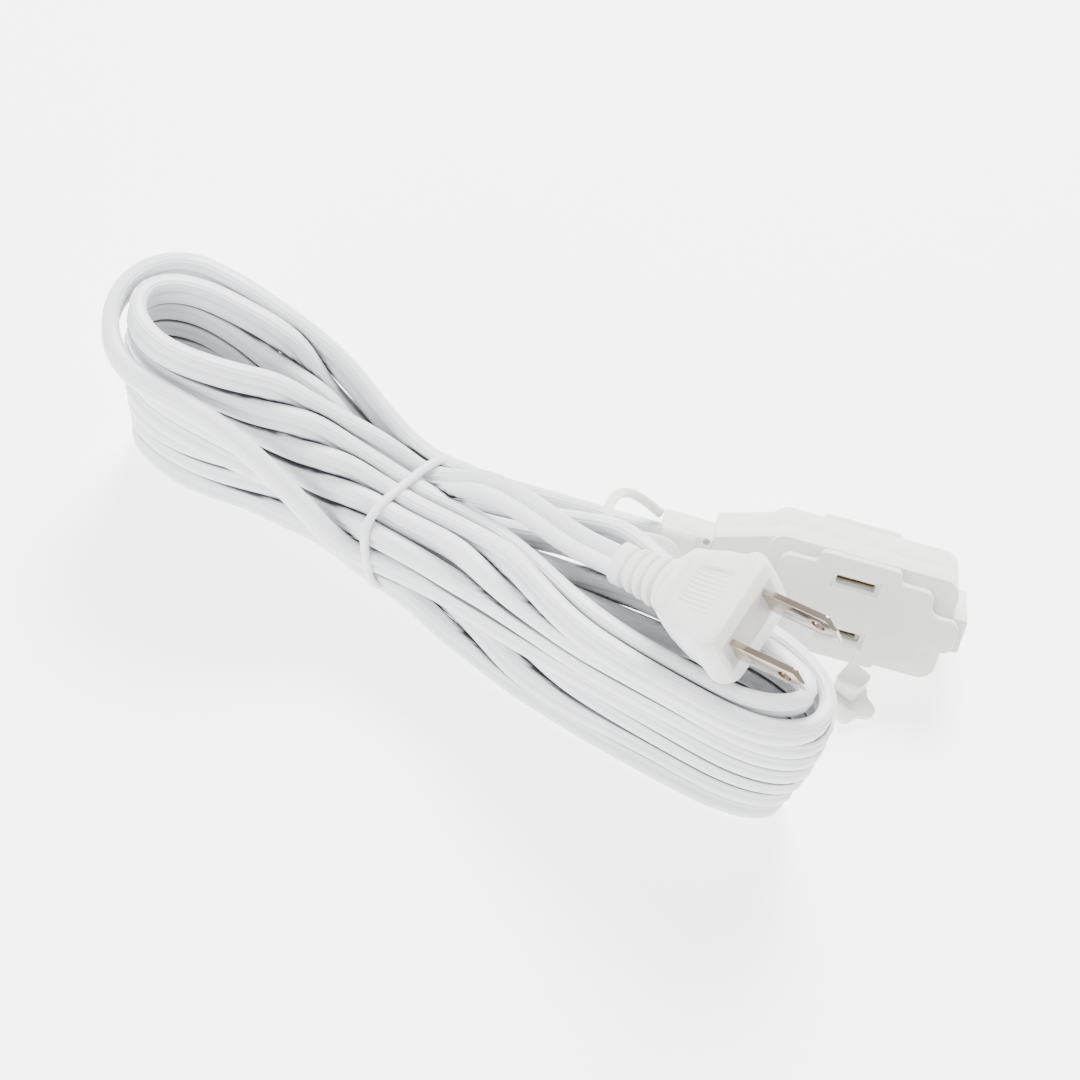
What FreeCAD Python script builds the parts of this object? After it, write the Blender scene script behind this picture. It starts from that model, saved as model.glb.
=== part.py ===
"""Indoor extension cord: a two-blade plug, a flat two-core cord tied in a hank, a tap with covered outlets.

Frame: Z up, X along the tap towards its free end, origin below the middle of the tap.
"""
import FreeCAD, Part
import math
import os
import Sketcher

V = FreeCAD.Vector
doc = FreeCAD.newDocument("extension_cord")

# ---------------------------------------------------------------- driving dimensions
sheet = doc.addObject("Spreadsheet::Sheet", "Dimensions")
SIZES = [
    ("tap_left", 20.7),        # slot centre to the flange's cord end
    ("tap_right", 22.9),       # slot centre to the flange's free end
    ("tap_half_height", 12.3),
    ("tap_depth", 17.0),
    ("front_shell", 7.0),
    ("wall", 1.8),
    ("shoulder_step", 1.5),
    ("slot_pitch", 12.7),
    ("slot_wide", 8.9),
    ("slot_narrow", 7.4),
    ("slot_gap", 1.9),
    ("cover_thick", 2.2),
    ("cover_clear", 0.3),
    ("cover_travel", 9.5),
    ("strip_thick", 0.8),
    ("plug_length", 20.0),
    ("plug_half_width", 12.6),
    ("plug_thick", 19.0),
    ("blade_length", 18.3),
    ("blade_thick", 1.5),
    ("blade_narrow", 6.35),
    ("blade_wide", 7.94),
    ("cord_width", 7.6),
    ("cord_thick", 3.8),
    ("tie_radius", 1.0),
    ("strap_width", 2.2),
    ("cap_thick", 1.6),
]
for row, (alias, value) in enumerate(SIZES, start=1):
    sheet.set("A%d" % row, alias)
    sheet.set("B%d" % row, repr(value))
    sheet.setAlias("B%d" % row, alias)
doc.recompute()
D = {alias: float(sheet.get(alias)) for alias, _ in SIZES}

# ---------------------------------------------------------------- frames of the three groups
LEAN = -34.0                                        # the tap leans back on its lower rear edge
TAP_ORIGIN = V(8.95, -7.05, 21.104)                   # slot centre on the flange's front face
TAP = FreeCAD.Placement(TAP_ORIGIN, FreeCAD.Rotation(V(1, 0, 0), LEAN))
SHIFT = TAP_ORIGIN - V(69.9, -8.13, 21.10)          # from the hank's working frame to the tap's


def frame(origin, axis_x, axis_z):
    """Placement with the given X and Z directions, Z kept exact."""
    z = V(axis_z).normalize()
    x = V(axis_x) - z * V(axis_x).dot(z)
    x.normalize()
    return FreeCAD.Placement(origin + SHIFT, FreeCAD.Rotation(x, z.cross(x), z, "ZXY"))


PLUG = frame(V(46.2, -47.3, 66.5), V(0.842, -0.394, 0.367), V(-0.435, -0.097, 0.895))
CAP = frame(V(77.4, -20.7, 2.9), V(0.897, -0.443, 0.0), V(0, 0, 1))

parts = []


def plane(body, role):
    for item in body.Origin.OriginFeatures:
        if item.Role == role:
            return item


def body_at(name, placement):
    body = doc.addObject("PartDesign::Body", name)
    body.Label = name
    body.Placement = placement
    parts.append(body)
    return body


def sketch(body, points, role, offset, name, holes=()):
    """Closed polygons on a plane of the body, moved along its normal."""
    sk = body.newObject("Sketcher::SketchObject", name)
    sk.AttachmentSupport = [(plane(body, role), "")]
    sk.MapMode = "FlatFace"
    sk.AttachmentOffset = FreeCAD.Placement(V(0, 0, offset), FreeCAD.Rotation())
    for loop in (points,) + tuple(holes):
        first = sk.GeometryCount
        count = len(loop)
        for i in range(count):
            a = loop[i]
            b = loop[(i + 1) % count]
            sk.addGeometry(Part.LineSegment(V(a[0], a[1], 0), V(b[0], b[1], 0)))
        for i in range(count):
            j = first + (i + 1) % count
            sk.addConstraint(Sketcher.Constraint("Coincident", first + i, 2, j, 1))
    return sk


def pad(body, sk, length, name, up=True, expression=None):
    feat = body.newObject("PartDesign::Pad", name)
    feat.Profile = sk
    feat.Length = length
    feat.Reversed = not up
    if expression:
        feat.setExpression("Length", expression)
    doc.recompute()
    return feat


def pocket(body, sk, length, name, up=False):
    """Cut towards +normal when up is set, else towards -normal; the volume must fall."""
    before = body.Shape.Volume
    feat = body.newObject("PartDesign::Pocket", name)
    feat.Profile = sk
    feat.Length = length
    feat.Reversed = up
    doc.recompute()
    if body.Shape.Volume > before - 1e-6:
        raise RuntimeError("%s cuts nothing" % name)
    return feat


def round_edges(body, radius, wanted, name):
    """Fillet the edges of the body's tip that the test accepts."""
    tip = body.Tip
    names = []
    for i, edge in enumerate(tip.Shape.Edges, start=1):
        if wanted(edge):
            names.append("Edge%d" % i)
    feat = body.newObject("PartDesign::Fillet", name)
    feat.Base = (tip, names)
    feat.Radius = radius
    doc.recompute()
    if not feat.Shape.isValid() or "Invalid" in feat.State or not names:
        raise RuntimeError("%s failed on %d edges" % (name, len(names)))
    return feat


def along(axis, length_min=0.0):
    def test(edge):
        if not isinstance(edge.Curve, Part.Line) or edge.Length < length_min:
            return False
        return abs(edge.tangentAt(edge.FirstParameter).dot(axis)) > 0.999
    return test


def soft_solid(name, shape, placement=None):
    """Part::Feature for a shape that is worked out from the sheet's sizes."""
    feat = doc.addObject("Part::Feature", name)
    feat.Label = name
    feat.Shape = shape
    if placement is not None:
        feat.Placement = placement
    parts.append(feat)
    return feat


def rounded(points, radius, steps=4):
    """Polygon with its corners turned into short chords of an arc."""
    out = []
    count = len(points)
    for i in range(count):
        p = V(points[i][0], points[i][1], 0)
        a = V(points[i - 1][0], points[i - 1][1], 0) - p
        b = V(points[(i + 1) % count][0], points[(i + 1) % count][1], 0) - p
        half = a.getAngle(b) / 2
        cut = min(radius / math.tan(half), 0.45 * a.Length, 0.45 * b.Length)
        r = cut * math.tan(half)
        a.normalize()
        b.normalize()
        mid = (a + b)
        mid.normalize()
        centre = p + mid * (r / math.sin(half))
        start = p + a * cut - centre
        stop = p + b * cut - centre
        for k in range(steps + 1):
            w = start * (1 - k / steps) + stop * (k / steps)
            w.normalize()
            w = centre + w * r
            out.append((w.x, w.y))
    return out


# ---------------------------------------------------------------- tap shells
LEFT = -D["tap_left"]
RIGHT = D["tap_right"]
HIGH = D["tap_half_height"]
NECK_END = -32.6
flange = rounded([(LEFT, -HIGH), (RIGHT, -HIGH), (RIGHT, HIGH), (LEFT, HIGH)], 3.5)
taper = [(NECK_END, -6.9), (LEFT + 3.0, -HIGH + 0.6), (LEFT + 3.0, HIGH - 0.6), (NECK_END, 6.9)]
inner = [(-29.5, -4.2), (-17.5, -9.8), (19.5, -9.8), (19.5, 9.8), (-17.5, 9.8), (-29.5, 4.2)]
mouth = [(NECK_END - 1, -3.9), (-28.0, -3.9), (-28.0, 3.9), (NECK_END - 1, 3.9)]
FRONT = D["front_shell"]
DEPTH = D["tap_depth"]
STEP = D["shoulder_step"]
MID = DEPTH / 2


def slot(x_half, z):
    g = D["slot_gap"] / 2
    return [(-x_half, z - g), (x_half, z - g), (x_half, z + g), (-x_half, z + g)]


def shell(name, y_face, y_seam, inward):
    """One half of the tap's case; inward is +1 for the front half and -1 for the rear half."""
    b = body_at(name, TAP)
    near = -y_face
    thick = abs(y_seam - y_face)
    pad(b, sketch(b, flange, "XZ_Plane", near, name + "_face"), thick, name + "_flange",
        up=(inward < 0))
    pad(b, sketch(b, taper, "XZ_Plane", near - inward * STEP, name + "_taper_s"),
        thick - STEP, name + "_taper", up=(inward < 0))
    seam = -y_seam
    room = thick - D["wall"]
    pocket(b, sketch(b, inner, "XZ_Plane", seam, name + "_room_s"), room, name + "_room",
           up=(inward > 0))
    depth_cut = D["cord_thick"] / 2 + (MID - y_seam) * (-inward)
    if depth_cut > 0.2:
        pocket(b, sketch(b, mouth, "XZ_Plane", seam, name + "_mouth_s"), depth_cut, name + "_mouth",
               up=(inward > 0))
    pitch = D["slot_pitch"] / 2
    for tag, wide, z in (("n", D["slot_wide"] / 2, pitch), ("l", D["slot_narrow"] / 2, -pitch)):
        s = sketch(b, slot(wide, z), "XZ_Plane", near, name + "_slot_" + tag)
        pocket(b, s, D["wall"] + 1.0, name + "_slotcut_" + tag, up=(inward < 0))
    return b


front = shell("tap_shell_front", 0.0, FRONT, 1)
rear = shell("tap_shell_rear", DEPTH, FRONT, -1)


# the rail grooves that hold the two sliding covers: a narrow mouth along X in each face
def rail_grooves(b, name, y_face, inward):
    for tag, z in (("u", 0.0),):
        lo = 1.6
        hi = 17.3
        s = sketch(b, [(lo, z - 0.9), (hi, z - 0.9), (hi, z + 0.9), (lo, z + 0.9)], "XZ_Plane",
                   -y_face, name + "_rail_" + tag)
        pocket(b, s, D["wall"] + 0.5, name + "_railcut_" + tag, up=(inward < 0))


rail_grooves(front, "tap_shell_front", 0.0, 1)
rail_grooves(rear, "tap_shell_rear", DEPTH, -1)

# block on the free end, between the two covers' finger tabs
block = body_at("tap_end_block", TAP)
pad(block, sketch(block, [(RIGHT, -4.2), (26.6, -4.2), (26.6, 4.2), (RIGHT, 4.2)], "XZ_Plane", 0.0,
                  "block_s"), DEPTH, "block_pad", up=False, expression="Dimensions.tap_depth")
round_edges(block, 0.8, along(V(0, 1, 0)), "block_round")

# neck between the case and the strain relief, with the cord's flat passage and a small moulding hole
neck = body_at("tap_neck", TAP)
neck_out = rounded([(3.4, -5.6), (13.6, -5.6), (13.6, 5.6), (3.4, 5.6)], 1.6)
cord_hole = [(MID - 1.95, -3.85), (MID + 1.95, -3.85), (MID + 1.95, 3.85), (MID - 1.95, 3.85)]
pad(neck, sketch(neck, neck_out, "YZ_Plane", -38.4, "neck_s", holes=(cord_hole,)), 5.8, "neck_pad")
hole_at = [(-34.0 + 0.75 * math.cos(k * math.pi / 8), 4.1 + 0.75 * math.sin(k * math.pi / 8))
           for k in range(16)]
pocket(neck, sketch(neck, hole_at, "XZ_Plane", -3.4, "neck_hole_s"), 1.6, "neck_hole", up=False)

# strain-relief collar, flared towards the cord and clipped over the neck
collar = body_at("tap_collar", TAP)
collar_out = rounded([(2.7, -5.7), (14.3, -5.7), (14.3, 5.7), (2.7, 5.7)], 2.2)
pad(collar, sketch(collar, collar_out, "YZ_Plane", -44.5, "collar_s", holes=(cord_hole,)), 8.0,
    "collar_pad")
neck_room = [(y * 1.0 + (0.06 if y > MID else -0.06), z + (0.06 if z > 0 else -0.06))
             for y, z in neck_out]
pocket(collar, sketch(collar, neck_room, "YZ_Plane", -38.46, "collar_room_s"), 3.0, "collar_room",
       up=True)

# ---------------------------------------------------------------- contacts and conductors in the tap


def contact(name, z, half):
    """Folded brass strip: two leaves that grip a blade from either face, a tail and a crimp."""
    b = body_at(name, TAP)
    t = D["strip_thick"]
    g = 0.65
    u = [(-half - t, z - g - t), (half, z - g - t), (half, z - g), (-half, z - g),
         (-half, z + g), (half, z + g), (half, z + g + t), (-half - t, z + g + t)]
    pad(b, sketch(b, u, "XZ_Plane", -2.2, name + "_leaves"), DEPTH - 4.4, name + "_grip", up=False)
    tail = [(-14.0, z - t / 2), (-half - t / 2, z - t / 2), (-half - t / 2, z + t / 2),
            (-14.0, z + t / 2)]
    pad(b, sketch(b, tail, "XZ_Plane", -MID + 2.0, name + "_tail_s"), 4.0, name + "_tail", up=False)
    ring = [(MID + 1.75 * math.cos(k * math.pi / 8), z + 1.75 * math.sin(k * math.pi / 8))
            for k in range(16)]
    bore = [(MID + 0.95 * math.cos(k * math.pi / 8), z + 0.95 * math.sin(k * math.pi / 8))
            for k in range(16)]
    pad(b, sketch(b, ring, "YZ_Plane", -17.0, name + "_crimp_s", holes=(bore,)), 4.0, name + "_crimp")
    return b


contact("contact_neutral", D["slot_pitch"] / 2, 4.6)
contact("contact_line", -D["slot_pitch"] / 2, 4.0)


def pipe(points, radius, bend=0.45):
    """Round tube whose path is straight runs joined by tangent arcs."""
    pts = [V(*p) for p in points]
    edges = []
    radii = []
    start = pts[0]
    for i in range(1, len(pts) - 1):
        a = pts[i - 1] - pts[i]
        b = pts[i + 1] - pts[i]
        run = min(a.Length, b.Length)
        turn = math.pi - a.getAngle(b)
        if turn < 0.01:
            continue
        cut = bend * run
        r = cut / math.tan(turn / 2)
        radii.append(round(r, 1))
        a.normalize()
        b.normalize()
        p = pts[i] + a * cut
        q = pts[i] + b * cut
        mid = a + b
        mid.normalize()
        m = pts[i] + mid * (r / math.cos(turn / 2) - r)
        if (p - start).Length > 1e-4:
            edges.append(Part.LineSegment(start, p).toShape())
        edges.append(Part.Arc(p, m, q).toShape())
        start = q
    edges.append(Part.LineSegment(start, pts[-1]).toShape())
    wire = Part.Wire(edges)
    ring = Part.Wire(Part.makeCircle(radius, pts[0], pts[1] - pts[0]))
    solid = wire.makePipeShell([ring], True, False)
    ideal = math.pi * radius * radius * wire.Length
    print("tube length %.1f, volume ratio %.4f, radii %s" % (wire.Length, solid.Volume / ideal, radii))
    return solid


def lead(name, z, placement):
    """Core of the cord from where it splits to its crimp."""
    s = 1 if z > 0 else -1
    shape = pipe([(-31.0, MID, 1.95 * s), (-27.0, MID, 2.3 * s), (-21.5, MID, z - 0.5 * s),
                  (-17.2, MID, z)], 1.55)
    tip = Part.makeCylinder(0.9, 3.1, V(-17.2, MID, z), V(1, 0, 0))
    soft_solid(name, shape.fuse(tip).removeSplitter(), placement)


lead("tap_lead_neutral", D["slot_pitch"] / 2, TAP)
lead("tap_lead_line", -D["slot_pitch"] / 2, TAP)

# the flat cord's end inside the collar and neck
entry = body_at("cord_tap_end", TAP)
flat = rounded([(MID - 1.9, -3.8), (MID + 1.9, -3.8), (MID + 1.9, 3.8), (MID - 1.9, 3.8)], 1.6)
pad(entry, sketch(entry, flat, "YZ_Plane", -44.5, "entry_s"), 13.4, "entry_pad")

# ---------------------------------------------------------------- sliding covers
W1 = 9.4
W2 = 17.7
TABX = 25.0
COVER = [(-W2, -9.4), (-W1, -9.4), (-W1, -HIGH), (W1, -HIGH), (W1, -9.4), (W2, -9.4), (W2, -4.0),
         (TABX, -4.0), (TABX, 4.0), (W2, 4.0), (W2, 9.4), (W1, 9.4), (W1, HIGH), (-W1, HIGH),
         (-W1, 9.4), (-W2, 9.4)]


def cover(name, y_back, outward):
    """Stepped plate with the two blade slots, a dished border round each, and a finger tab."""
    b = body_at(name, TAP)
    pitch = D["slot_pitch"] / 2
    holes = (slot(D["slot_wide"] / 2 + 0.05, pitch), slot(D["slot_wide"] / 2 + 0.05, -pitch))
    pad(b, sketch(b, rounded(COVER, 2.2, 3), "XZ_Plane", -y_back, name + "_s", holes=holes),
        D["cover_thick"], name + "_pad", up=(outward < 0), expression="Dimensions.cover_thick")
    top = -(y_back + outward * D["cover_thick"])
    for tag, z in (("u", pitch), ("d", -pitch)):
        x = D["slot_wide"] / 2 + 1.0
        rim = [(-x, z - 1.9), (x, z - 1.9), (x, z + 1.9), (-x, z + 1.9)]
        pocket(b, sketch(b, rim, "XZ_Plane", top, name + "_rim_" + tag), 0.7, name + "_rimcut_" + tag,
               up=(outward > 0))
    return b


def rail(name, y_back, outward):
    """T-headed slide that is snapped into the cover's back and runs in the case's groove."""
    b = body_at(name, TAP)
    stem = [(2.0, -0.6), (7.4, -0.6), (7.4, 0.6), (2.0, 0.6)]
    head = [(2.0, -1.5), (7.4, -1.5), (7.4, 1.5), (2.0, 1.5)]
    reach = D["cover_clear"] + D["wall"] + 0.3
    pad(b, sketch(b, stem, "XZ_Plane", -y_back, name + "_stem_s"), reach, name + "_stem",
        up=(outward > 0))
    pad(b, sketch(b, head, "XZ_Plane", -(y_back - outward * reach), name + "_head_s"), 0.9,
        name + "_head", up=(outward > 0))
    return b


GAP = D["cover_clear"]
cover("cover_front", -GAP, -1)
rail("rail_front", -GAP, -1)
cover("cover_rear", DEPTH + GAP, 1)
rail("rail_rear", DEPTH + GAP, 1)

# ---------------------------------------------------------------- plug
LONG = D["plug_length"]
HALF = D["plug_half_width"]
THICK = D["plug_thick"]
outline = [(0.0, -10.6), (0.0, 10.6), (-1.2, 11.6), (-3.2, HALF), (-5.4, HALF), (-7.0, 11.3),
           (-10.0, 10.9), (-13.5, 9.9), (-17.0, 8.2), (-LONG, 6.6)]
outline += [(x, -y) for x, y in reversed(outline[2:])]
plug = body_at("plug_body", PLUG)
pad(plug, sketch(plug, outline, "XY_Plane", -THICK / 2, "plug_s"), THICK, "plug_pad",
    expression="Dimensions.plug_thick")
far = 30.0
above = [(2.0, 9.5), (2.0, far), (-far, far), (-far, 5.0), (-LONG, 5.0), (-17.2, 7.2), (-16.4, 7.2),
         (-14.8, 6.8), (-12.0, 7.0), (-6.2, 8.6), (-1.5, 9.5)]
below = [(x, -z) for x, z in above]
for tag, cutter in (("top", above), ("bottom", below)):
    sk = sketch(plug, cutter, "XZ_Plane", -far / 2, "plug_cut_" + tag)
    cut = plug.newObject("PartDesign::Pocket", "plug_slope_" + tag)
    cut.Profile = sk
    cut.Length = 60.0
    cut.Midplane = True
    doc.recompute()
    if not cut.Shape.isValid():
        raise RuntimeError("plug slope failed")
# finger grip: a shallow panel with fine ribs along the plug
panel = rounded([(-13.4, -4.6), (-5.0, -5.6), (-5.0, 5.6), (-13.4, 4.6)], 1.2, 3)
pocket(plug, sketch(plug, panel, "XY_Plane", THICK / 2, "grip_s"), 2.6, "grip_panel")
# room for the blade carrier
room = [(-12.0, -9.2), (0.0, -9.2), (0.0, 9.2), (-12.0, 9.2)]
pocket(plug, sketch(plug, room, "XY_Plane", 4.6, "carrier_room_s"), 9.2, "carrier_room")
tunnel = [(-LONG, -3.9), (-11.9, -7.4), (-11.9, 7.4), (-LONG, 3.9)]
pocket(plug, sketch(plug, tunnel, "XY_Plane", 2.0, "lead_room_s"), 4.0, "lead_room")

# carrier that holds both blades in the moulding
carrier = body_at("blade_carrier", PLUG)
pad(carrier, sketch(carrier, [(-6.0, -9.1), (0.0, -9.1), (0.0, 9.1), (-6.0, 9.1)], "XY_Plane", -4.5,
                    "carrier_s"), 9.0, "carrier_pad")
for tag, y, w in (("n", 6.35, D["blade_wide"]), ("l", -6.35, D["blade_narrow"])):
    s = sketch(carrier, [(y - 0.78, -w / 2 - 0.03), (y + 0.78, -w / 2 - 0.03),
                         (y + 0.78, w / 2 + 0.03), (y - 0.78, w / 2 + 0.03)], "YZ_Plane", -6.5,
               "carrier_slot_" + tag)
    pocket(carrier, s, 8.0, "carrier_cut_" + tag, up=True)


def blade(name, y, width):
    """Folded blade with a hole near its tip, a tapered tip and a tail for the crimp."""
    b = body_at(name, PLUG)
    w = width / 2
    L = D["blade_length"]
    shape = [(-9.0, -1.6), (-6.2, -1.6), (-6.2, -w), (L - 2.6, -w), (L, -w + 1.5), (L, w - 1.5),
             (L - 2.6, w), (-6.2, w), (-6.2, 1.6), (-9.0, 1.6)]
    hole = [(L - 5.6 + 1.6 * math.cos(k * math.pi / 8), 1.6 * math.sin(k * math.pi / 8))
            for k in range(16)]
    sk = sketch(b, shape, "XZ_Plane", -y - D["blade_thick"] / 2, name + "_s", holes=(hole,))
    pad(b, sk, D["blade_thick"], name + "_pad", expression="Dimensions.blade_thick")
    return b


blade("blade_neutral", 6.35, D["blade_wide"])
blade("blade_line", -6.35, D["blade_narrow"])

for tag, y in (("neutral", 6.35), ("line", -6.35)):
    s = 1 if y > 0 else -1
    crimp = body_at("crimp_" + tag, PLUG)
    yc = y - 2.3 * s
    ring = [(yc + 1.5 * math.cos(k * math.pi / 8), 1.5 * math.sin(k * math.pi / 8)) for k in range(16)]
    bore = [(yc + 0.95 * math.cos(k * math.pi / 8), 0.95 * math.sin(k * math.pi / 8))
            for k in range(16)]
    pad(crimp, sketch(crimp, ring, "YZ_Plane", -11.4, "crimp_s_" + tag, holes=(bore,)), 4.6,
        "crimp_pad_" + tag)
    core = pipe([(-LONG + 0.2, 1.95 * s, 0), (-17.2, 2.2 * s, 0), (-14.4, (abs(yc) - 0.3) * s, 0),
                 (-11.6, yc, 0)], 1.55)
    tip = Part.makeCylinder(0.9, 4.4, V(-11.6, yc, 0), V(1, 0, 0))
    soft_solid("plug_lead_" + tag, core.fuse(tip).removeSplitter(), PLUG)

# ribbed strain relief on the plug: an end collar and four rounded ribs on a slim sleeve
sleeve = Part.makeCylinder(3.4, 14.6, V(-34.6, 0, 0), V(1, 0, 0))
for k in range(4):
    at = -30.0 + 2.75 * k
    rib_r = 4.6 + 0.28 * k
    sleeve = sleeve.fuse(Part.makeCylinder(rib_r, 1.6, V(at, 0, 0), V(1, 0, 0)))
sleeve = sleeve.fuse(Part.makeCone(4.3, 4.8, 3.4, V(-34.6, 0, 0), V(1, 0, 0)))
squash_m = FreeCAD.Matrix()
squash_m.scale(1.0, 1.0, 0.86)
sleeve = sleeve.transformGeometry(squash_m)
hole = Part.makeBox(14.8, 7.7, 3.9, V(-34.7, -3.85, -1.95))
soft_solid("plug_relief", sleeve.cut(hole).removeSplitter(), PLUG)
plug_entry = body_at("cord_plug_end", PLUG)
flat2 = rounded([(-3.8, -1.9), (3.8, -1.9), (3.8, 1.9), (-3.8, 1.9)], 1.6)
pad(plug_entry, sketch(plug_entry, flat2, "YZ_Plane", -34.6, "plug_entry_s"), 14.4, "plug_entry_pad")

# ---------------------------------------------------------------- hank of cord
TURN = math.radians(-15.5)
HANK = FreeCAD.Placement(V(-28.0, -22.0, 0) + SHIFT,
                         FreeCAD.Rotation(V(0, 0, 1), math.degrees(TURN)))
plan = [(-77.6, -2.0), (-76.0, -10.5), (-69.0, -17.0), (-52.0, -17.2), (-27.0, -12.8), (-6.0, -9.8),
        (6.0, -9.8), (27.0, -13.2), (50.0, -17.4), (78.0, -18.4), (94.0, -15.0), (101.6, -8.0),
        (102.4, -1.0), (98.0, 5.0), (84.0, 8.2), (50.0, 9.8), (27.0, 12.4), (6.0, 13.9),
        (-6.0, 13.9), (-27.0, 14.4), (-52.0, 13.2), (-66.0, 9.4), (-74.6, 4.2)]


def closed_prism(points, vector):
    curve = Part.BSplineCurve()
    curve.interpolate([V(*p) for p in points], PeriodicFlag=True)
    return Part.Face(Part.Wire(curve.toShape())).extrude(vector)


body_plan = closed_prism([(a, b, 0) for a, b in plan], V(0, 0, 70))
side = [(-90, 4.4), (-60, 3.0), (-35, 8.0), (-10, 12.9), (10, 12.9), (35, 6.0), (62, 0.4), (112, 0.0),
        (112, 50.6), (70, 50.6), (36, 45.0), (10, 36.1), (-10, 36.1), (-34, 50.0), (-56, 63.0),
        (-90, 63.4)]
side_face = Part.Face(Part.makePolygon([V(a, -60, c) for a, c in side + side[:1]]))
hank = body_plan.common(side_face.extrude(V(0, 120, 0)))
left_eye = closed_prism([(-69, -2.0, -5), (-63, -7.0, -5), (-52, -7.2, -5), (-36, -1.2, -5),
                         (-36, 1.4, -5), (-50, 5.0, -5), (-62, 4.4, -5)], V(0, 0, 80))
right_eye = closed_prism([(93, -4.6, -5), (87, -8.6, -5), (74, -8.8, -5), (56, -4.0, -5),
                          (56, -1.6, -5), (74, 0.2, -5), (87, -0.4, -5)], V(0, 0, 80))
hank = hank.cut(left_eye).cut(right_eye)
for wq, dq in ((-9.9, 1), (14.0, -1)):
    for wz, dz in ((12.8, 1), (36.2, -1)):
        corner_cut = Part.Face(Part.makePolygon([V(-14, wq, wz), V(-14, wq + 3.1 * dq, wz),
                                                 V(-14, wq, wz + 3.1 * dz), V(-14, wq, wz)]))
        hank = hank.cut(corner_cut.extrude(V(28, 0, 0)))
soft_solid("cord_hank", hank, HANK)

# tie round the waist of the hank
tie_r = D["tie_radius"]
ty_lo = -9.8 - tie_r - 0.1
ty_hi = 13.9 + tie_r + 0.1
tz_lo = 12.9 - tie_r - 0.1
tz_hi = 36.1 + tie_r + 0.1
corner = 6.0
tie_edges = []
path = [(ty_lo, tz_lo), (ty_hi, tz_lo), (ty_hi, tz_hi), (ty_lo, tz_hi)]
for i in range(4):
    a = V(0, *path[i - 1])
    b = V(0, *path[i])
    c = V(0, *path[(i + 1) % 4])
    ab = (b - a).normalize()
    bc = (c - b).normalize()
    tie_edges.append(Part.LineSegment(a + ab * corner, b - ab * corner).toShape())
    p = b - ab * corner
    q = b + bc * corner
    m = b + (bc - ab) * corner * (1 - math.sqrt(0.5))
    tie_edges.append(Part.Arc(p, m, q).toShape())
tie_wire = Part.Wire(Part.__sortEdges__(tie_edges))
first = tie_wire.Edges[0]
at = first.valueAt(first.FirstParameter)
ring = Part.Wire(Part.makeCircle(tie_r, at, first.tangentAt(first.FirstParameter)))
soft_solid("hank_tie", tie_wire.makePipeShell([ring], True, False), HANK)

# ---------------------------------------------------------------- the two uncoiled stretches
tap_exit = TAP.multVec(V(-44.5, MID, 0))
to_hank = HANK.inverse()
cord_r = D["cord_width"] / 2


def world(p):
    return V(*p) + SHIFT


TAP_LEAD = [(11.4, -1.08, 16.35), (-2.0, -3.2, 20.4), (-15.3, -7.1, 26.4)]
tap_run = [tap_exit] + [world(p) for p in TAP_LEAD]
soft_solid("cord_tap_lead", pipe([tuple(p) for p in tap_run], cord_r))
plug_exit = PLUG.multVec(V(-34.6, 0, 0))
back = PLUG.multVec(V(-46.0, 0, 0))
PLUG_LEAD = [(-5.0, -21.6, 46.4), (-15.6, -16.2, 42.6)]
plug_run = [plug_exit, back] + [world(p) for p in PLUG_LEAD]
soft_solid("cord_plug_lead", pipe([tuple(p) for p in plug_run], cord_r))

# ---------------------------------------------------------------- tethered cap
cap = body_at("safety_cap", CAP)
lobes = []
for k in range(72):
    a = 2 * math.pi * k / 72
    r = 4.9 + 0.95 * math.cos(4 * (a - math.radians(12)))
    lobes.append((r * math.cos(a), r * math.sin(a) * 0.98))
pad(cap, sketch(cap, lobes, "XY_Plane", -1.6, "cap_s"), D["cap_thick"], "cap_pad",
    expression="Dimensions.cap_thick")
block = rounded([(-5.6, -0.6), (0.4, -0.6), (0.4, 5.7), (-5.6, 5.7)], 1.1, 3)
pad(cap, sketch(cap, block, "XY_Plane", -0.4, "grip_block_s"), 5.0, "grip_block")
strap_r = D["strap_width"] / 2
STRAP = [(24.4, 1.9, 21.6), (18.5, 2.0, 26.5), (13.6, -5.5, 37.0), (11.8, -17.0, 46.2),
         (15.0, -24.5, 47.9), (22.0, -21.0, 47.0), (28.4, -15.6, 37.5), (33.0, -16.8, 26.0),
         (42.5, -19.4, 14.0), (52.5, -22.4, 6.4), (63.0, -22.6, 3.0), (73.0, -21.2, 2.2)]
soft_solid("cap_strap", pipe([tuple(world(p)) for p in STRAP], strap_r))

# ---------------------------------------------------------------- checks and export
doc.recompute()
bad = []
for obj in doc.Objects:
    state = " ".join(obj.State)
    if "Invalid" in state or "Error" in state:
        bad.append("%s: %s" % (obj.Name, state))
for obj in parts:
    if obj.Shape.isNull() or not obj.Shape.isValid() or obj.Shape.Volume < 0.01:
        bad.append("%s: shape" % obj.Label)
if bad:
    raise RuntimeError("; ".join(bad))
os.makedirs("parts", exist_ok=True)
for obj in parts:
    obj.Shape.exportStep("parts/%s.step" % obj.Label)
    bb = obj.Shape.BoundBox
    print("%-18s solids %d vol %9.1f  x %.1f %.1f  y %.1f %.1f  z %.1f %.1f" % (
        obj.Label, len(obj.Shape.Solids), obj.Shape.Volume, bb.XMin, bb.XMax, bb.YMin, bb.YMax,
        bb.ZMin, bb.ZMax))
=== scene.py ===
import math
import bmesh
import bpy
from mathutils import Matrix, Vector
from mathutils.kdtree import KDTree


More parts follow.
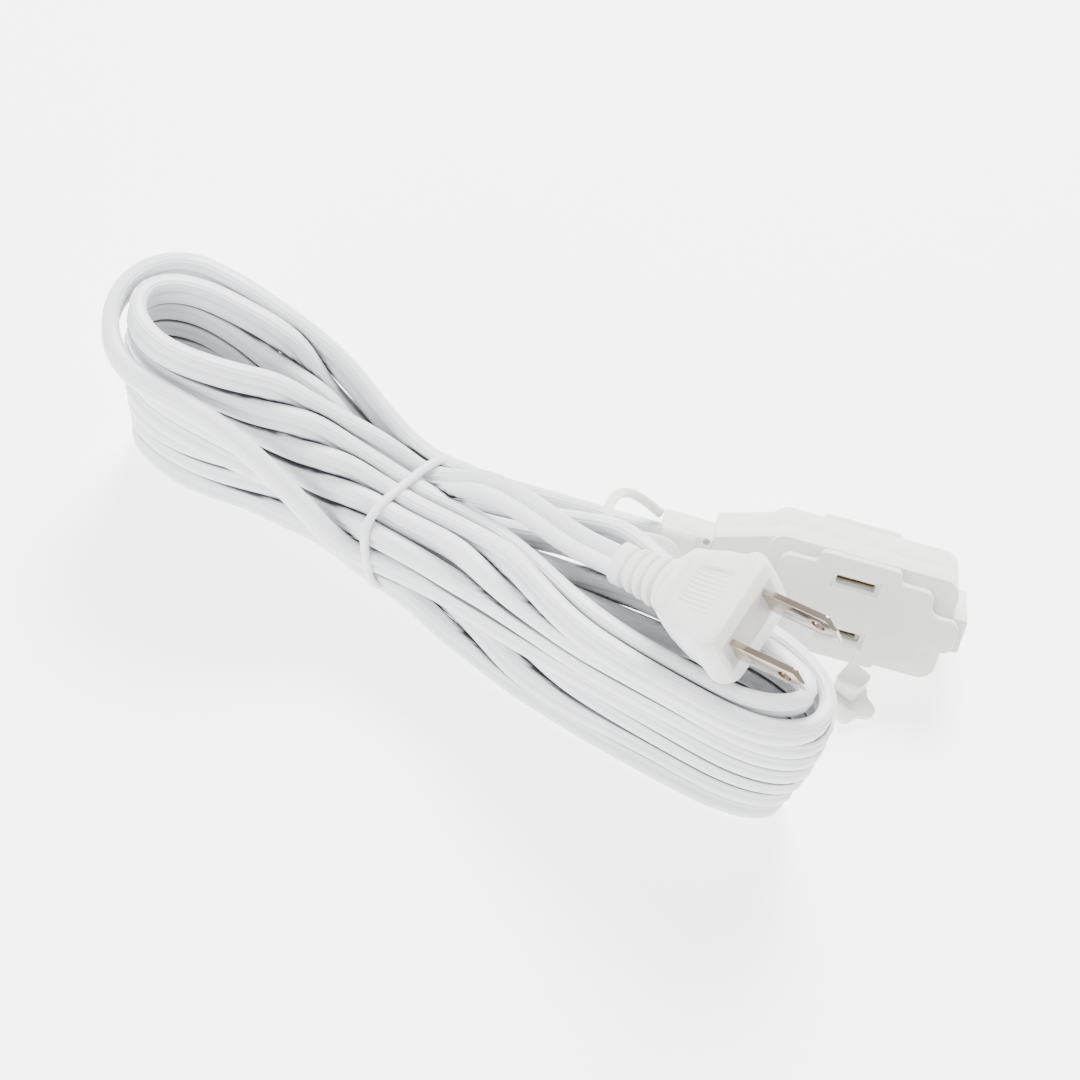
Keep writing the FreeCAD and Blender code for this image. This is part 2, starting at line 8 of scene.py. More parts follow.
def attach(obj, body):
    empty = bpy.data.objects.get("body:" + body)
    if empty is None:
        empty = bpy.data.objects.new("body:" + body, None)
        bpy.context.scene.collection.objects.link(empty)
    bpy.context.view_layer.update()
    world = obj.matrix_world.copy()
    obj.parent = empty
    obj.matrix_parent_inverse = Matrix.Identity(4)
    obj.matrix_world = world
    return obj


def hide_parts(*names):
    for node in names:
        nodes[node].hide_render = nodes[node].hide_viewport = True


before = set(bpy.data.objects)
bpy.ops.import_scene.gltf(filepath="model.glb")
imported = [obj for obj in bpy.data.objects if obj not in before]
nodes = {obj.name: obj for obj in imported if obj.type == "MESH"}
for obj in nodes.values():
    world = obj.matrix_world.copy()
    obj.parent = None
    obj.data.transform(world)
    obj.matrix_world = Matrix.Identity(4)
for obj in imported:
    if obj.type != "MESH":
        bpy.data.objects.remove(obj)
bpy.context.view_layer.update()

MM = 0.001                       # m

# ------------------------------------------------------------------ places of the three groups
TAP_ORIGIN = Vector((8.95, -7.05, 21.104)) * MM
SHIFT = TAP_ORIGIN - Vector((69.9, -8.13, 21.10)) * MM
LEAN = math.radians(-34)
TAP = Matrix.Translation(TAP_ORIGIN) @ Matrix.Rotation(LEAN, 4, "X")


def group(origin, axis_x, axis_z):
    """Axes of a group from its origin in mm and two of its directions."""
    z = Vector(axis_z).normalized()
    x = Vector(axis_x)
    x = (x - z * x.dot(z)).normalized()
    y = z.cross(x)
    m = Matrix((x, y, z)).transposed().to_4x4()
    return Matrix.Translation(Vector(origin) * MM + SHIFT) @ m


PLUG = group((46.2, -47.3, 66.5), (0.842, -0.394, 0.367), (-0.435, -0.097, 0.895))
PSI = math.radians(15.5)
HANK = Matrix.Translation(Vector((-28, -22, 0)) * MM + SHIFT) @ Matrix.Rotation(-PSI, 4, "Z")


def at(m, x, y, z):
    """Point given in mm in a group's own axes, in metres in the shared frame."""
    return m @ (Vector((x, y, z)) * MM)


def smooth(t, a, b):
    """Soft step from 0 at a to 1 at b."""
    t = min(max((t - a) / (b - a), 0.0), 1.0)
    return t * t * (3 - 2 * t)


# ------------------------------------------------------------------ camera and light
ELEV = math.radians(58)
ROLL = math.radians(15.6)
CAMERA_DISTANCE = 0.7            # m
LENS = 105.9                     # mm, on a sensor 36 mm wide
LIT_MIDDLE = (-0.06, -0.02, 0.02)
look = Vector((0, -15.6, 25)) * MM + SHIFT
right = Vector((1, 0, 0))
up = Vector((0, math.sin(ELEV), math.cos(ELEV)))
towards = Vector((0, -math.cos(ELEV), math.sin(ELEV)))
cam_x = right * math.cos(ROLL) + up * math.sin(ROLL)
cam_y = up * math.cos(ROLL) - right * math.sin(ROLL)
cam_data = bpy.data.cameras.new("camera")
cam_data.lens = LENS
cam_data.sensor_width = 36
cam = bpy.data.objects.new("camera", cam_data)
m = Matrix((cam_x, cam_y, towards)).transposed().to_4x4()
cam.matrix_world = Matrix.Translation(look + towards * CAMERA_DISTANCE) @ m
bpy.context.scene.collection.objects.link(cam)
bpy.context.scene.camera = cam


def area(name, place, target, size, power, colour=(1, 1, 1)):
    """Disk light in metres and watts, turned towards a target."""
    light = bpy.data.lights.new(name, "AREA")
    light.shape = "DISK"
    light.size = size
    light.energy = power
    light.color = colour
    ob = bpy.data.objects.new(name, light)
    ob.location = place
    d = Vector(target) - Vector(place)
    ob.rotation_euler = d.to_track_quat("-Z", "Y").to_euler()
    bpy.context.scene.collection.objects.link(ob)


area("key", (-0.10, 0.50, 0.80), LIT_MIDDLE, 0.5, 26.0, (1.0, 0.995, 0.985))
area("fill", (-0.6, -0.6, 0.5), LIT_MIDDLE, 0.8, 11.0, (0.98, 0.99, 1.0))
area("side", (0.7, -0.1, 0.55), (0.0, -0.02, 0.02), 0.5, 4.0)
world = bpy.data.worlds.new("studio")
world.use_nodes = True
world.node_tree.nodes["Background"].inputs[0].default_value = (1, 1, 1, 1)
world.node_tree.nodes["Background"].inputs[1].default_value = 0.9
bpy.context.scene.world = world


# ------------------------------------------------------------------ materials
def material(name, colour, rough, grain=0.0, grain_scale=900.0, metal=0.0, tint=None,
             tint_scale=60.0, rough_var=0.08, subsurface=0.0):
    """Principled surface with colour drift, uneven gloss and a fine bump, all in object space."""
    mat = bpy.data.materials.new(name)
    mat.use_nodes = True
    nt = mat.node_tree
    bsdf = nt.nodes["Principled BSDF"]
    bsdf.inputs["Metallic"].default_value = metal
    bsdf.inputs["IOR"].default_value = 1.5
    bsdf.inputs["Subsurface Weight"].default_value = subsurface
    bsdf.inputs["Subsurface Radius"].default_value = (0.004, 0.003, 0.002)
    coord = nt.nodes.new("ShaderNodeTexCoord")
    drift = nt.nodes.new("ShaderNodeTexNoise")
    drift.inputs["Scale"].default_value = tint_scale
    drift.inputs["Detail"].default_value = 4
    nt.links.new(coord.outputs["Object"], drift.inputs["Vector"])
    ramp = nt.nodes.new("ShaderNodeValToRGB")
    other = tint or tuple(c * 0.94 for c in colour)
    ramp.color_ramp.elements[0].position = 0.35
    ramp.color_ramp.elements[1].position = 0.65
    ramp.color_ramp.elements[0].color = (*other, 1)
    ramp.color_ramp.elements[1].color = (*colour, 1)
    nt.links.new(drift.outputs["Fac"], ramp.inputs["Fac"])
    nt.links.new(ramp.outputs["Color"], bsdf.inputs["Base Color"])
    span = nt.nodes.new("ShaderNodeMapRange")
    span.inputs["To Min"].default_value = max(rough - rough_var, 0.03)
    span.inputs["To Max"].default_value = min(rough + rough_var, 1.0)
    fine = nt.nodes.new("ShaderNodeTexNoise")
    fine.inputs["Scale"].default_value = grain_scale * 0.4
    fine.inputs["Detail"].default_value = 5
    nt.links.new(coord.outputs["Object"], fine.inputs["Vector"])
    nt.links.new(fine.outputs["Fac"], span.inputs["Value"])
    nt.links.new(span.outputs["Result"], bsdf.inputs["Roughness"])
    if grain:
        grit = nt.nodes.new("ShaderNodeTexNoise")
        grit.inputs["Scale"].default_value = grain_scale * 3
        grit.inputs["Detail"].default_value = 3
        nt.links.new(coord.outputs["Object"], grit.inputs["Vector"])
        bump = nt.nodes.new("ShaderNodeBump")
        bump.inputs["Strength"].default_value = grain
        bump.inputs["Distance"].default_value = 0.00012
        nt.links.new(grit.outputs["Fac"], bump.inputs["Height"])
        nt.links.new(bump.outputs["Normal"], bsdf.inputs["Normal"])
    return mat


M_CORD = material("cord_pvc_skin", (0.80, 0.81, 0.83), 0.42, 0.2, 900)
# Painted shade: the near-black that the cord's colour is multiplied towards in the creases between
# strands and in its middle groove, in place of the shadow there.
CREASE_SHADE_COLOUR = (0.07, 0.075, 0.085, 1)


def socket(sockets, kind, name=None):
    """The first socket of a kind; a mix node has several that share a name."""
    return next(k for k in sockets if k.type == kind and name in (None, k.name))


# The painted crease shade, kept per point on the cord mesh, darkens the cord's base colour.
cord_tree = M_CORD.node_tree
painted_shade_in = cord_tree.nodes.new("ShaderNodeAttribute")
painted_shade_in.attribute_name = "painted_crease_shade"
darken = cord_tree.nodes.new("ShaderNodeMix")
darken.data_type = "RGBA"
darken.blend_type = "MULTIPLY"
drift_ramp = next(n for n in cord_tree.nodes if n.bl_idname == "ShaderNodeValToRGB")
socket(darken.inputs, "RGBA", "B").default_value = CREASE_SHADE_COLOUR
cord_tree.links.new(painted_shade_in.outputs["Fac"], socket(darken.inputs, "VALUE", "Factor"))
cord_tree.links.new(drift_ramp.outputs["Color"], socket(darken.inputs, "RGBA", "A"))
cord_tree.links.new(socket(darken.outputs, "RGBA"),
                    cord_tree.nodes["Principled BSDF"].inputs["Base Color"])
M_CASE = material("tap_plastic", (0.80, 0.80, 0.77), 0.38, 0.3, 1100, subsurface=0.04)
M_COVER = material("cover_plastic_skin", (0.77, 0.77, 0.745), 0.42, 0.4, 1300, subsurface=0.04)
M_PLUG = material("plug_plastic_skin", (0.80, 0.80, 0.78), 0.44, 0.6, 1000, subsurface=0.04)
M_TIE = material("tie_plastic_skin", (0.84, 0.84, 0.84), 0.35, 0.2, 900, subsurface=0.08)
M_CAP = material("cap_plastic_skin", (0.76, 0.76, 0.72), 0.45, 0.3, 1000, subsurface=0.06)
M_BLADE = material("nickel_plate", (0.46, 0.40, 0.34), 0.14, 0.12, 500, metal=1.0,
                   tint=(0.40, 0.31, 0.23), tint_scale=140, rough_var=0.07)
M_BRASS = material("brass_strip", (0.80, 0.60, 0.28), 0.28, 0.2, 600, metal=1.0,
                   tint=(0.66, 0.45, 0.2), tint_scale=150)
M_CORE = material("core_skin", (0.78, 0.78, 0.76), 0.5, 0.2, 900)
M_FLOOR = material("studio_floor", (0.95, 0.95, 0.95), 0.9, 0.0, 200, tint=(0.945, 0.945, 0.945))
floor_bsdf = M_FLOOR.node_tree.nodes["Principled BSDF"]
floor_bsdf.inputs["Emission Color"].default_value = (1, 1, 1, 1)
floor_bsdf.inputs["Emission Strength"].default_value = 2.3

bpy.ops.mesh.primitive_plane_add(size=6, location=(0, 0, 0))
floor = bpy.context.object
floor.name = "studio_floor_plane"
floor.data.materials.append(M_FLOOR)


def piece(name, verts, faces, mat, body, replaced):
    """Mesh object that rides on a body and stands for the named CAD nodes."""
    me = bpy.data.meshes.new(name)
    me.from_pydata([tuple(v) for v in verts], [], faces)
    me.validate()
    me.update()
    me.materials.append(mat)
    me.polygons.foreach_set("use_smooth", [True] * len(me.polygons))
    ob = bpy.data.objects.new(name, me)
    bpy.context.scene.collection.objects.link(ob)
    bm = bmesh.new()
    bm.from_mesh(me)
    bmesh.ops.recalc_face_normals(bm, faces=bm.faces)
    bm.to_mesh(me)
    bm.free()
    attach(ob, body)
    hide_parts(*replaced)
    return ob


def tube(rings, closed=False):
    """Faces of a skin over equal rings of points."""
    n = len(rings[0])
    verts = [p for ring in rings for p in ring]
    faces = []
    count = len(rings)
    for i in range(count if closed else count - 1):
        a = i * n
        b = ((i + 1) % count) * n
        for k in range(n):
            after = (k + 1) % n
            faces.append((a + k, a + after, b + after, b + k))
    if not closed:
        faces.append(tuple(range(n)))
        faces.append(tuple(reversed(range((count - 1) * n, count * n))))
    return verts, faces


WELD = 2e-6                      # m
FLAT_ANGLE = math.radians(0.6)   # faces that meet flatter than this are merged
ROUND_ANGLE = math.radians(30)   # edges sharper than this are rounded


def softened(node, name, mat, body, width, segments=3):
    """A CAD piece with its edges rounded, by a width in mm, as moulded plastic has them."""
    me = nodes[node].data.copy()
    me.name = name
    me.materials.clear()
    me.materials.append(mat)
    ob = bpy.data.objects.new(name, me)
    bpy.context.scene.collection.objects.link(ob)
    bm = bmesh.new()
    bm.from_mesh(me)
    bmesh.ops.remove_doubles(bm, verts=bm.verts, dist=WELD)
    bmesh.ops.dissolve_limit(bm, angle_limit=FLAT_ANGLE, verts=bm.verts, edges=bm.edges)
    bm.to_mesh(me)
    bm.free()
    bev = ob.modifiers.new("round", "BEVEL")
    bev.width = width * MM
    bev.segments = segments
    bev.limit_method = "ANGLE"
    bev.angle_limit = ROUND_ANGLE
    bpy.context.view_layer.update()
    dg = bpy.context.evaluated_depsgraph_get()
    new = bpy.data.meshes.new_from_object(ob.evaluated_get(dg))
    ob.modifiers.clear()
    ob.data = new
    new.polygons.foreach_set("use_smooth", [True] * len(new.polygons))
    ob.data.set_sharp_from_angle(angle=math.radians(38))
    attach(ob, body)
    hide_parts(node)
    return ob


# ------------------------------------------------------------------ route of the whole cord
COLUMN = 3.87                    # pitch of the strands across the tied waist, mm
ROW = 7.42                       # pitch of the strands up the tied waist, mm
WAIST_Q = 2.0                    # middle of the tied waist, across the hank, mm
WAIST_Z = 24.5                   # and above the floor, mm
MID_COLUMN = 2.5                 # the waist has six columns
MID_ROW = 1                      # and three rows
ROUND_OFF = 0.5                  # how far the corner strands sit in under the tie, mm
# Layers of turns from the bottom up, in mm in the hank's own axes: where each one ends, how
# high it lies, and where its front and back strands run. The left side has nine, the right eight.
LEFT_END = [-70.0, -70.5, -71.0, -71.2, -71.0, -71.3, -71.0, -71.6, -75.4]
LEFT_Z = [7.6, 14.9, 22.2, 29.5, 36.7, 43.6, 50.2, 56.0, 59.2]
LEFT_FRONT = [-4.6, -5.6, -6.6, -7.6, -8.6, -9.4, -10.0, -10.7, -15.2]
LEFT_BACK = [7.6, 7.9, 8.2, 8.4, 8.6, 8.4, 8.1, 7.2, 11.4]
RIGHT_END = [98.4, 99.4, 100.4, 101.0, 101.3, 101.2, 100.0, 97.2]
RIGHT_Z = [3.9, 11.25, 18.6, 25.9, 33.1, 40.2, 45.7, 47.0]
RIGHT_FRONT = [-9.8, -10.3, -11.0, -11.7, -12.5, -13.6, -15.9, -12.1]
RIGHT_BACK = [4.5, 4.5, 4.8, 5.0, 5.2, 5.5, 6.0, 2.6]
LEFT_BEND = 15.0                 # how far from its end a turn starts to bend, mm
RIGHT_BEND = 20.0
# The order in which the cord takes the layers, and its column and row at the waist each time.
LEFT_LAYER = [8, 0, 1, 2, 3, 4, 5, 6, 7]
RIGHT_LAYER = [3, 0, 1, 2, 4, 5, 6, 7]
FRONT_SLOT = [(0, 1), (0, 0), (1, 0), (2, 0), (0, 2), (1, 2), (2, 2), (3, 2), (4, 2)]
BACK_SLOT = [(5, 2), (3, 0), (4, 0), (5, 0), (1, 1), (2, 1), (3, 1), (4, 1), (5, 1)]
PINCH = [4.6, 4.0, 3.2, 2.0, 1.2, 0.6, 0.0, 0.0, -1.5]    # bow of the left front strands, mm
OUTERMOST = 8                    # the left layer that lies over all the others
TILT = 8.0                       # how much lower that turn is at its front, mm
LOW = 20.0                       # turns below this height spread later from the tie, mm
WAVE = 0.45                      # slack in each strand, mm
STRAND_POINTS = 8
BEND_STEPS = 10


def waist(slot):
    """Place of a strand in the tied waist."""
    column, row = slot
    round_off = ROUND_OFF if slot in ((0, 0), (5, 0), (0, 2)) else 0.0
    inward = round_off if column == 0 else -round_off
    return WAIST_Q + (column - MID_COLUMN) * COLUMN + inward, WAIST_Z + (row - MID_ROW) * ROW


def strand(slot, end_p, end_q, end_z, seed, q_span, z_span, pinch=0.0):
    """From the tie out to where a turn starts to bend."""
    qw, zw = waist(slot)
    out = []
    for i in range(STRAND_POINTS):
        t = i / (STRAND_POINTS - 1)
        wave = WAVE * math.sin(2.3 * seed + 5.1 * t) * math.sin(math.pi * t)
        wave += pinch * math.sin(math.pi * t) ** 2
        q = qw + (end_q - qw) * smooth(t, *q_span) + wave
        z = zw + (end_z - zw) * smooth(t, *z_span)
        out.append((end_p * t * 0.999, q, z))    # stops just short of the bend
    return out


def bend(end_p, reach, front, back, z_front, z_back, side):
    """Round the end of a turn, from the front side to the back side."""
    mid = (front + back) / 2
    half = (back - front) / 2
    out = []
    for k in range(1, BEND_STEPS):
        a = math.pi * k / BEND_STEPS
        f = (1 - math.cos(a)) / 2
        out.append((end_p + side * (reach * math.sin(a) - reach), mid - half * math.cos(a),
                    z_front + (z_back - z_front) * f))
    return out


def hank_points():
    """Control points of the wound part, from the tap's end to the plug's."""
    pts = []
    for i, j in enumerate(LEFT_LAYER):
        z_back = LEFT_Z[j]
        z_front = z_back - (TILT if j == OUTERMOST else 0.0)
        start = LEFT_END[j] + LEFT_BEND
        back = strand(BACK_SLOT[i], start, LEFT_BACK[j], z_back, i, (0.0, 1.0),
                      (0.3, 1.0) if z_back < LOW else (0.0, 0.95))
        rise = (0.35, 1.0) if z_front < LOW else (0.0, 0.78 if j == OUTERMOST else 0.95)
        front = strand(FRONT_SLOT[i], start, LEFT_FRONT[j], z_front, i + 20, (0.0, 1.0), rise,
                       PINCH[j])
        pts += back
        pts += bend(LEFT_END[j], LEFT_BEND, LEFT_FRONT[j], LEFT_BACK[j], z_front, z_back, -1)[::-1]
        pts += front[::-1][:-1]
        if i == len(LEFT_LAYER) - 1:
            pts.append(front[0])
            break
        k = RIGHT_LAYER[i]
        start = RIGHT_END[k] - RIGHT_BEND
        front = strand(FRONT_SLOT[i], start, RIGHT_FRONT[k], RIGHT_Z[k], i + 40,
                       (0.08, 0.64), (0.0, 0.58))
        back = strand(BACK_SLOT[i + 1], start, RIGHT_BACK[k], RIGHT_Z[k], i + 60,
                      (0.3, 1.0), (0.0, 0.7))
        pts += front
        pts += bend(RIGHT_END[k], RIGHT_BEND, RIGHT_FRONT[k], RIGHT_BACK[k],
                    RIGHT_Z[k], RIGHT_Z[k], 1)
        pts += back[::-1][:-1]
    return [at(HANK, *p) for p in pts]


# Bends of the two leads between the hank and the tap or plug, in metres before SHIFT.
TAP_LEAD = [(0.0114, -0.00108, 0.01635), (-0.002, -0.0032, 0.0204), (-0.0153, -0.0071, 0.0264)]
PLUG_LEAD = [(-0.005, -0.0216, 0.0464), (-0.0156, -0.0162, 0.0426)]
tap_exit = at(TAP, -44.5, 8.5, 0)
plug_exit = at(PLUG, -34.6, 0, 0)
controls = [at(TAP, -38.0, 8.5, 0), at(TAP, -41.0, 8.5, 0), tap_exit, at(TAP, -50, 8.5, 0)]
controls += [Vector(p) + SHIFT for p in TAP_LEAD]
controls += hank_points()
controls += [Vector(p) + SHIFT for p in reversed(PLUG_LEAD)]
controls += [at(PLUG, -46, 0, 0), at(PLUG, -39, 0, 0), plug_exit, at(PLUG, -30, 0, 0)]


def nurbs_line(points, name, steps):
    """Points along one open NURBS of order 3 with these control points."""
    cu = bpy.data.curves.new(name, "CURVE")
    cu.dimensions = "3D"
    cu.resolution_u = steps
    sp = cu.splines.new("NURBS")
    sp.points.add(len(points) - 1)
    for i, p in enumerate(points):
        sp.points[i].co = (*p, 1)
    sp.order_u = 3
    sp.use_endpoint_u = True
    ob = bpy.data.objects.new(name, cu)
    bpy.context.scene.collection.objects.link(ob)
    bpy.context.view_layer.update()
    dg = bpy.context.evaluated_depsgraph_get()
    me = bpy.data.meshes.new_from_object(ob.evaluated_get(dg))
    line = [v.co.copy() for v in me.vertices]
    bpy.data.objects.remove(ob)
    bpy.data.meshes.remove(me)
    return line


def resample(line, step):
    """Evenly spaced points along a polyline, both ends kept."""
    dist = [0.0]
    for a, b in zip(line, line[1:]):
        dist.append(dist[-1] + (b - a).length)
    total = dist[-1]
    n = max(int(total / step), 2)
    out = []
    k = 0
    for i in range(n + 1):
        d = total * i / n
        while k < len(dist) - 2 and dist[k + 1] < d:
            k += 1
        f = (d - dist[k]) / max(dist[k + 1] - dist[k], 1e-9)
        out.append(line[k].lerp(line[k + 1], min(max(f, 0), 1)))
    return out, total


def tree_of(line):
    """Search tree over the points of a line."""
    out = KDTree(len(line))
    for i, p in enumerate(line):
        out.insert(p, i)
    out.balance()
    return out


def rounded_off(line):
    """The line with each inner point drawn towards its two neighbours."""
    inner = [(a + b * 2 + c) / 4 for a, b, c in zip(line, line[1:], line[2:])]
    return [line[0]] + inner + [line[-1]]


SETTLE_STEP = 0.003              # spacing of the points that are pushed, m
SETTLE_ROUNDS = 70
FIXED_END = 0.055                # length held still at each end, m
SAME_RUN = 0.024                 # points nearer than this along the cord aren't pushed apart, m
REACH = 0.0078                   # how far to look for another strand, m
ROOM_BESIDE = 0.00385            # pitch of strands that lie side by side, m
ROOM_ABOVE = 0.0074              # pitch of strands that lie one above the other, m
PUSH = 0.22                      # share of an overlap taken out in one round
PUSH_LIMIT = 0.0009              # m
SHIFT_KEPT = 0.985               # share of a point's shift that it keeps in each round
LOWEST = 0.0039                  # height of a cord that lies on the floor, m


def settle(line, step, rounds):
    """Push strands that share the same space apart, as the flat cord's own bulk does."""
    n = len(line)
    keep = int(FIXED_END / step)
    skip = int(SAME_RUN / step)
    home = [p.copy() for p in line]
    for _ in range(rounds):
        tree = tree_of(line)
        push = [Vector((0, 0, 0)) for _ in range(n)]
        for i in range(keep, n - keep):
            p = line[i]
            t = line[i + 1] - line[i - 1]
            flat = Vector((-t.y, t.x, 0)).normalized()
            for _, j, _ in tree.find_range(p, REACH):
                if abs(i - j) < skip:
                    continue
                d = p - line[j]
                lat = d.dot(flat)
                in_lat = 1 - abs(lat) / ROOM_BESIDE
                in_z = 1 - abs(d.z) / ROOM_ABOVE
                if in_lat <= 0 or in_z <= 0:
                    continue
                if in_lat * 1.15 < in_z:
                    push[i] += flat * math.copysign(in_lat * ROOM_BESIDE * PUSH, lat)
                else:
                    push[i].z += math.copysign(in_z * ROOM_ABOVE * PUSH, d.z)
        moved = list(line)
        for i in range(keep, n - keep):
            step_v = push[i]
            if step_v.length > PUSH_LIMIT:
                step_v = step_v.normalized() * PUSH_LIMIT
            moved[i] = line[i] + step_v
        shift = rounded_off(rounded_off([a - b for a, b in zip(moved, home)]))
        line = list(home)
        for i in range(keep, n - keep):
            line[i] = home[i] + shift[i] * SHIFT_KEPT
            line[i].z = max(line[i].z, LOWEST)
    return line


coarse, _ = resample(nurbs_line(controls, "cord_guide", 8), SETTLE_STEP)
coarse = settle(coarse, SETTLE_STEP, SETTLE_ROUNDS)
cord_line, cord_length = resample(nurbs_line(coarse, "cord_settled", 3), 0.0021)

# ------------------------------------------------------------------ flat two-core cord
HALF_W = 3.6                     # half of the cord's width, mm
CORE = 1.8                       # radius of each core, mm
SQUARE = 2.25                    # how square each core's outline is; 2 is a circle
GROOVE = 0.95                    # half of the cord's thickness in the middle groove, mm
RIDGE = 0.49                     # pitch of the ridges on one core, mm


def cord_section():
    """Outline across the cord: one core with fine ridges, one smooth, a groove between them."""
    stations = [-3.54, -3.42, -3.27, -3.08, -2.85, -2.55, -2.2, -1.8, -1.4, -1.05, -0.75, -0.5]
    stations += [-0.25, 0.0, 0.25]
    stations += [0.5 + 0.093 * k for k in range(0, 32)] + [3.5]
    top = []
    for s in stations:
        t = min(abs(abs(s) - CORE) / CORE, 1.0)
        h = CORE * (1 - t ** SQUARE) ** (1 / SQUARE)
        if abs(s) < CORE:
            h = max(h, GROOVE + 0.2 * abs(s))
        if 0.5 < s < 3.4:
            h += 0.10 * math.cos(2 * math.pi * (s - 0.5) / RIDGE) - 0.05
        top.append((s, h))
    lower = [(s, -h) for s, h in reversed(top)]
    return top + [(HALF_W, 0.0)] + lower + [(-HALF_W, 0.0)]


section = cord_section()
wide_tap = (TAP.to_3x3() @ Vector((0, 0, 1))).normalized()
wide_plug = (PLUG.to_3x3() @ Vector((0, 1, 0))).normalized()
n_rings = len(cord_line)
wides = []
thins = []
for i in range(n_rings):
    a = cord_line[max(i - 1, 0)]
    b = cord_line[min(i + 1, n_rings - 1)]
    t = (b - a).normalized()
    s_here = i / (n_rings - 1) * cord_length
    near_tap = 1 - smooth(s_here, 0.012, 0.075)
    near_plug = smooth(s_here, cord_length - 0.100, cord_length - 0.040)
    sway = 0.13 * math.sin(s_here * 21.0) + 0.08 * math.sin(s_here * 47.0 + 1.3)
    aside = Vector((0.3, 1.0, 0.0)) * sway * (1 - near_tap) * (1 - near_plug)
    wide = (Vector((0.0, 0.0, 1.0)) + aside).normalized()
    wide = wide.lerp(wide_tap, near_tap).lerp(wide_plug, near_plug)
    wide = (wide - t * wide.dot(t)).normalized()
    wides.append(wide)
    thins.append(t.cross(wide))

# Painted shade: the cord is painted darker where another strand lies close above, below or
# alongside it, and in its middle groove, in place of the shadow there.
ring_tree = tree_of(cord_line)
STACKED_FADE = (0.85, 1.35)      # crease shade by distance to the strand above or below, mm
BESIDE_FADE = (0.36, 0.82)       # the same for the strand alongside
STACKED_FROM = 2.6               # a strand counts as above or below from this slope on
FACING = (-0.45, 0.0)            # a face turned away from the other strand gets no crease
ROUND_ABOUT = 0.0105             # how far to look for rings of other runs, m
CLEARANCE = 0.12                 # a point nearer than this to the other strand is drawn in, mm
GROOVE_SHADE = 0.22              # shade of the cord's own middle groove


def neighbours(i):
    """The nearest ring of each other run of the cord that lies beside ring i."""
    found = ring_tree.find_range(cord_line[i], ROUND_ABOUT)
    near = sorted((j, d) for _, j, d in found if abs(i - j) > 8)
    runs = []
    for j, d in near:
        if runs and j - runs[-1][0] <= 2:
            _, best_j, best_d = runs[-1]
            runs[-1] = (j, j, d) if d < best_d else (j, best_j, best_d)
        else:
            runs.append((j, j, d))
    out = []
    for _, j, _ in runs:
        d = cord_line[j] - cord_line[i]
        stacked = abs(d.dot(wides[i])) > STACKED_FROM * abs(d.dot(thins[i]))
        out.append((j, STACKED_FADE if stacked else BESIDE_FADE))
    return out


def core_part(u):
    """The nearest place between the two core centres, across the cord."""
    return min(max(u, CORE - HALF_W), HALF_W - CORE)


def depth_in(point, outward, j):
    """How far outside ring j's outline a point lies in mm, and how much it faces that ring."""
    d = (point - cord_line[j]) / MM
    along = d.dot(wides[j])
    away = wides[j] * (along - core_part(along)) + thins[j] * d.dot(thins[j])
    facing = -away.normalized().dot(outward)
    return away.length - CORE, smooth(facing, *FACING)


rings = []
shade_of = []
for i, p in enumerate(cord_line):
    beside = neighbours(i)
    ring = []
    for u, v in section:
        point = p + (wides[i] * u + thins[i] * v) * MM
        outward = (wides[i] * (u - core_part(u)) + thins[i] * v).normalized()
        gap = 9.0
        touch = 0.0
        for j, fade in beside:
            depth, facing = depth_in(point, outward, j)
            gap = min(gap, depth)
            touch = max(touch, facing * (1 - smooth(depth, *fade)))
        if gap < CLEARANCE:
            point = point.lerp(p, min((CLEARANCE - gap) / 2.6, 0.5))
        ring.append(point)
        # painted shade in the middle groove; each point keeps the larger of this and the painted
        # crease shade
        dip = GROOVE_SHADE * (1 - smooth(abs(u), 0.05, 0.45))
        shade_of.append(max(touch, dip))
    rings.append(ring)
verts, faces = tube(rings)
cord = piece("cord", verts, faces, M_CORD, "tap",
             ("cord_hank", "cord_tap_lead", "cord_plug_lead"))
# the painted crease and groove shade goes onto the cord as a point attribute
painted_crease_shade = cord.data.attributes.new("painted_crease_shade", "FLOAT", "POINT")
for k, value in enumerate(shade_of):
    painted_crease_shade.data[k].value = value
print("cord length", round(cord_length, 4), "rings", n_rings)

# ------------------------------------------------------------------ tie at the waist
TIE_POINTS = 96
TIE_RADIUS = 0.00098             # m
TIE_HALF = (13.7, 13.9)          # half width and half height of the loop, mm
TIE_POWER = 2 / 3.6              # rounded square


def closed_tube(points, radius, sides=14):
    """Rings round a closed line."""
    n = len(points)
    rings = []
    for i in range(n):
        t = (points[(i + 1) % n] - points[i - 1]).normalized()
        side = Vector((math.cos(PSI), -math.sin(PSI), 0))
        side = (side - t * side.dot(t)).normalized()
        out = t.cross(side)
        rings.append([points[i] + side * radius * math.cos(2 * math.pi * k / sides)
                      + out * radius * math.sin(2 * math.pi * k / sides) for k in range(sides)])
    return rings


# The loop leans along the hank as it goes across and up.
tie_pts = []
for k in range(TIE_POINTS):
    a = 2 * math.pi * k / TIE_POINTS
    c, s = math.cos(a), math.sin(a)
    q = TIE_HALF[0] * math.copysign(abs(c) ** TIE_POWER, c)
    z = TIE_HALF[1] * math.copysign(abs(s) ** TIE_POWER, s)
    tie_pts.append(at(HANK, 0.26 * q - 0.22 * z - 0.8, WAIST_Q + q, WAIST_Z + z))
v, f = tube(closed_tube(tie_pts, TIE_RADIUS), closed=True)
tie = piece("hank_tie_band", v, f, M_TIE, "tap", ("hank_tie",))

